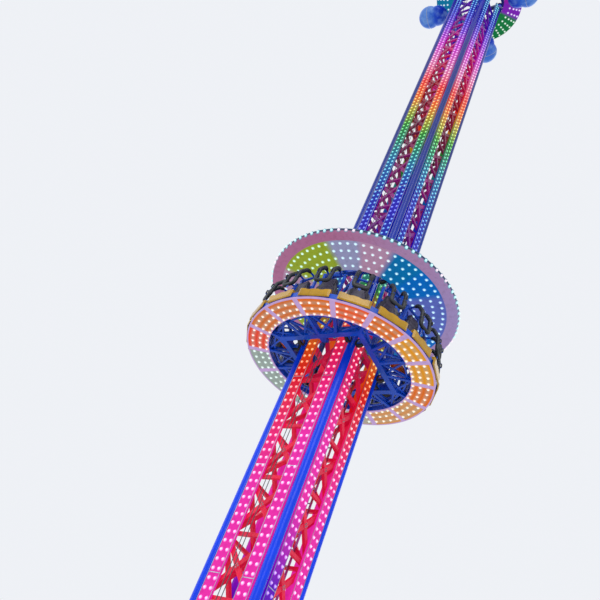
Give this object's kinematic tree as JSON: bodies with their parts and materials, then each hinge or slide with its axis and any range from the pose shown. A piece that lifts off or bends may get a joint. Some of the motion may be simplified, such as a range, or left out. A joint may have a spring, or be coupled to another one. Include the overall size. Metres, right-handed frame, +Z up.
{
  "type": "drop tower ride",
  "caption": "Drop tower fairground ride: a square lattice tower with light strips, and a ring of outward-facing seats under a round lit canopy that travels up and down it.",
  "frame": {"origin": "centre of the bed plate's underside, on the ground at the tower's axis", "axes": "+Z up along the tower, -Y out of the front face, X and Y square to the tower's faces"},
  "size_m": [4.2902, 4.2902, 27.6401],
  "materials": {
    "base_frame": "gloss",
    "buffers": "matt",
    "post_front_left": "gloss",
    "post_front_right": "gloss",
    "post_rear_right": "gloss",
    "post_rear_left": "gloss",
    "lattice_front": "gloss",
    "lattice_right": "gloss",
    "lattice_rear": "gloss",
    "lattice_left": "gloss",
    "light_strips": "gloss",
    "ladder": "satin",
    "winch_housings": "satin",
    "winch_drums": "satin",
    "hoist_ropes": "satin",
    "head_frame": "gloss",
    "head_sheaves": "satin",
    "crown_deck": "gloss",
    "crown_panels": "gloss",
    "crown_trim": "gloss",
    "crown_globes": "gloss",
    "gondola_frame": "gloss",
    "canopy_frame": "gloss",
    "gondola_uprights": "gloss",
    "guide_rollers": "matt",
    "ring_panels": "gloss",
    "ring_trim": "gloss",
    "seat_pans": "gloss",
    "seat_backs": "satin",
    "seat_struts": "gloss",
    "restraint_pins": "satin",
    "canopy_panels": "gloss",
    "canopy_trim": "gloss",
    "canopy_rim": "gloss",
    "canopy_roof": "gloss",
    "air_tanks": "gloss",
    "restraint_01": "satin",
    "restraint_02": "satin",
    "restraint_03": "satin",
    "restraint_04": "satin",
    "restraint_05": "satin",
    "restraint_06": "satin",
    "restraint_07": "satin",
    "restraint_08": "satin",
    "restraint_09": "satin",
    "restraint_10": "satin",
    "restraint_11": "satin",
    "restraint_12": "satin",
    "restraint_13": "satin",
    "restraint_14": "satin",
    "restraint_15": "satin",
    "restraint_16": "satin"
  },
  "bodies": {
    "tower": {"base_frame": "base_frame", "buffers": "buffers", "post_front_left": "post_front_left", "post_front_right": "post_front_right", "post_rear_right": "post_rear_right", "post_rear_left": "post_rear_left", "lattice_front": "lattice_front", "lattice_right": "lattice_right", "lattice_rear": "lattice_rear", "lattice_left": "lattice_left", "light_strips": "light_strips", "ladder": "ladder", "winch_housings": "winch_housings", "winch_drums": "winch_drums", "hoist_ropes": "hoist_ropes", "head_frame": "head_frame", "head_sheaves": "head_sheaves", "crown_deck": "crown_deck", "crown_panels": "crown_panels", "crown_trim": "crown_trim", "crown_globes": "crown_globes"},
    "gondola": {"gondola_frame": "gondola_frame", "canopy_frame": "canopy_frame", "gondola_uprights": "gondola_uprights", "guide_rollers": "guide_rollers", "ring_panels": "ring_panels", "ring_trim": "ring_trim", "seat_pans": "seat_pans", "seat_backs": "seat_backs", "seat_struts": "seat_struts", "restraint_pins": "restraint_pins", "canopy_panels": "canopy_panels", "canopy_trim": "canopy_trim", "canopy_rim": "canopy_rim", "canopy_roof": "canopy_roof", "air_tanks": "air_tanks"},
    "harness_01": {"restraint_01": "restraint_01"},
    "harness_02": {"restraint_02": "restraint_02"},
    "harness_03": {"restraint_03": "restraint_03"},
    "harness_04": {"restraint_04": "restraint_04"},
    "harness_05": {"restraint_05": "restraint_05"},
    "harness_06": {"restraint_06": "restraint_06"},
    "harness_07": {"restraint_07": "restraint_07"},
    "harness_08": {"restraint_08": "restraint_08"},
    "harness_09": {"restraint_09": "restraint_09"},
    "harness_10": {"restraint_10": "restraint_10"},
    "harness_11": {"restraint_11": "restraint_11"},
    "harness_12": {"restraint_12": "restraint_12"},
    "harness_13": {"restraint_13": "restraint_13"},
    "harness_14": {"restraint_14": "restraint_14"},
    "harness_15": {"restraint_15": "restraint_15"},
    "harness_16": {"restraint_16": "restraint_16"}
  },
  "joints": [
    {"name": "gondola_hoist", "type": "slide", "parent": "tower", "child": "gondola", "axis": [0, 0, 1], "range_m": [-8.88, 13.6]},
    {"name": "harness_01_pivot", "type": "hinge", "parent": "gondola", "child": "harness_01", "pos_m": [1.53002, 0.30434, 10.6106], "axis": [0.1951, -0.9808, 0], "range_deg": [0, 75]},
    {"name": "harness_02_pivot", "type": "hinge", "parent": "gondola", "child": "harness_02", "pos_m": [1.29709, 0.86669, 10.6106], "axis": [0.5556, -0.8315, 0], "range_deg": [0, 75]},
    {"name": "harness_03_pivot", "type": "hinge", "parent": "gondola", "child": "harness_03", "pos_m": [0.86669, 1.29709, 10.6106], "axis": [0.8315, -0.5556, 0], "range_deg": [0, 75]},
    {"name": "harness_04_pivot", "type": "hinge", "parent": "gondola", "child": "harness_04", "pos_m": [0.30434, 1.53002, 10.6106], "axis": [0.9808, -0.1951, 0], "range_deg": [0, 75]},
    {"name": "harness_05_pivot", "type": "hinge", "parent": "gondola", "child": "harness_05", "pos_m": [-0.30434, 1.53002, 10.6106], "axis": [0.9808, 0.1951, 0], "range_deg": [0, 75]},
    {"name": "harness_06_pivot", "type": "hinge", "parent": "gondola", "child": "harness_06", "pos_m": [-0.86669, 1.29709, 10.6106], "axis": [0.8315, 0.5556, 0], "range_deg": [0, 75]},
    {"name": "harness_07_pivot", "type": "hinge", "parent": "gondola", "child": "harness_07", "pos_m": [-1.29709, 0.86669, 10.6106], "axis": [0.5556, 0.8315, 0], "range_deg": [0, 75]},
    {"name": "harness_08_pivot", "type": "hinge", "parent": "gondola", "child": "harness_08", "pos_m": [-1.53002, 0.30434, 10.6106], "axis": [0.1951, 0.9808, 0], "range_deg": [0, 75]},
    {"name": "harness_09_pivot", "type": "hinge", "parent": "gondola", "child": "harness_09", "pos_m": [-1.53002, -0.30434, 10.6106], "axis": [-0.1951, 0.9808, 0], "range_deg": [0, 75]},
    {"name": "harness_10_pivot", "type": "hinge", "parent": "gondola", "child": "harness_10", "pos_m": [-1.29709, -0.86669, 10.6106], "axis": [-0.5556, 0.8315, 0], "range_deg": [0, 75]},
    {"name": "harness_11_pivot", "type": "hinge", "parent": "gondola", "child": "harness_11", "pos_m": [-0.86669, -1.29709, 10.6106], "axis": [-0.8315, 0.5556, 0], "range_deg": [0, 75]},
    {"name": "harness_12_pivot", "type": "hinge", "parent": "gondola", "child": "harness_12", "pos_m": [-0.30434, -1.53002, 10.6106], "axis": [-0.9808, 0.1951, 0], "range_deg": [0, 75]},
    {"name": "harness_13_pivot", "type": "hinge", "parent": "gondola", "child": "harness_13", "pos_m": [0.30434, -1.53002, 10.6106], "axis": [-0.9808, -0.1951, 0], "range_deg": [0, 75]},
    {"name": "harness_14_pivot", "type": "hinge", "parent": "gondola", "child": "harness_14", "pos_m": [0.86669, -1.29709, 10.6106], "axis": [-0.8315, -0.5556, 0], "range_deg": [0, 75]},
    {"name": "harness_15_pivot", "type": "hinge", "parent": "gondola", "child": "harness_15", "pos_m": [1.29709, -0.86669, 10.6106], "axis": [-0.5556, -0.8315, 0], "range_deg": [0, 75]},
    {"name": "harness_16_pivot", "type": "hinge", "parent": "gondola", "child": "harness_16", "pos_m": [1.53002, -0.30434, 10.6106], "axis": [-0.1951, -0.9808, 0], "range_deg": [0, 75]}
  ]
}
